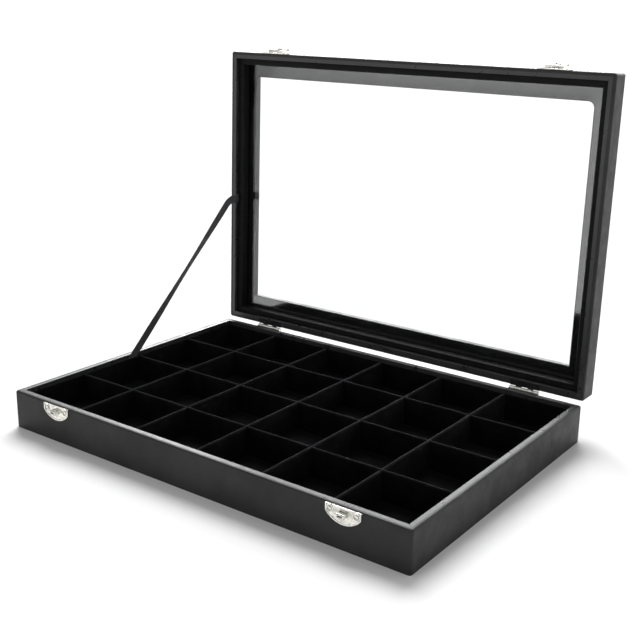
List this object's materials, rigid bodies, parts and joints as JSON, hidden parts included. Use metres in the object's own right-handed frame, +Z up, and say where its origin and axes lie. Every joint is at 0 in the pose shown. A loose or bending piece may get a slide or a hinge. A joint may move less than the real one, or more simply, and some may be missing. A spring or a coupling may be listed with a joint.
{
  "type": "hinged glass-top display case",
  "caption": "Shallow hinged case with a velvet compartment tray, a framed glass lid on a ribbon stay, butt hinges and half-moon hasp latches.",
  "frame": {"origin": "centre of the base's underside, where the case rests", "axes": "+X to the right along the front, +Y to the back where the hinges are, +Z up"},
  "size_m": [0.35, 0.2699, 0.2752],
  "materials": {
    "fibreboard": "raw medium-density fibreboard, covered",
    "black_board": "fibreboard laminated in black paper",
    "leatherette": "black fine-grain leatherette, satin",
    "lining": "black leatherette lining, satin",
    "velvet": "black flocked velvet",
    "felt": "black paper-backed felt",
    "bead": "black satin moulding",
    "ribbon": "black woven ribbon",
    "nickel": "bright nickel plate",
    "glass": "clear float glass"
  },
  "bodies": {
    "base": {"base_front_wall": "fibreboard", "liner_front": "velvet", "base_back_wall": "fibreboard", "liner_back": "velvet", "base_left_wall": "fibreboard", "liner_left": "velvet", "base_right_wall": "fibreboard", "liner_right": "velvet", "base_floor_panel": "fibreboard", "base_underside_cover": "felt", "base_wrap": "leatherette", "base_lining": "lining", "tray_floor_pad": "velvet", "ribbon_stay": "ribbon", "hinge_base_nails": "nickel", "catch_plate_nails": "nickel", "long_divider_1": "velvet", "long_divider_2": "velvet", "long_divider_3": "velvet", "cross_divider_1": "velvet", "cross_divider_2": "velvet", "cross_divider_3": "velvet", "cross_divider_4": "velvet", "cross_divider_5": "velvet", "catch_plate_left": "nickel", "hinge_left_base_leaf": "nickel", "hinge_left_pin": "nickel", "catch_plate_right": "nickel", "hinge_right_base_leaf": "nickel", "hinge_right_pin": "nickel"},
    "lid": {"lid_front_rail": "fibreboard", "glass_bead_front": "bead", "lid_back_rail": "fibreboard", "glass_bead_back": "bead", "lid_left_rail": "fibreboard", "glass_bead_left": "bead", "lid_right_rail": "fibreboard", "glass_bead_right": "bead", "lid_face_frame": "black_board", "lid_wrap": "leatherette", "lid_lining": "lining", "glass_pane": "glass", "hinge_lid_nails": "nickel", "hasp_plate_nails": "nickel", "hasp_plate_left": "nickel", "hasp_pin_left": "nickel", "hinge_left_lid_leaf": "nickel", "hasp_plate_right": "nickel", "hasp_pin_right": "nickel", "hinge_right_lid_leaf": "nickel"},
    "hasp_left": {"hasp_left": "nickel"},
    "hasp_right": {"hasp_right": "nickel"}
  },
  "joints": [
    {"name": "lid_hinge", "type": "hinge", "parent": "base", "child": "lid", "pos_m": [0, 0.1218, 0.02925], "axis": [1, 0, 0], "range_deg": [0, 91.3], "deforming": ["ribbon_stay"]},
    {"name": "hasp_left_hinge", "type": "hinge", "parent": "lid", "child": "hasp_left", "pos_m": [-0.12775, 0.12909, 0.27315], "axis": [1, 0, 0], "range_deg": [0, 164]},
    {"name": "hasp_right_hinge", "type": "hinge", "parent": "lid", "child": "hasp_right", "pos_m": [0.12775, 0.12909, 0.27315], "axis": [1, 0, 0], "range_deg": [0, 164]}
  ]
}
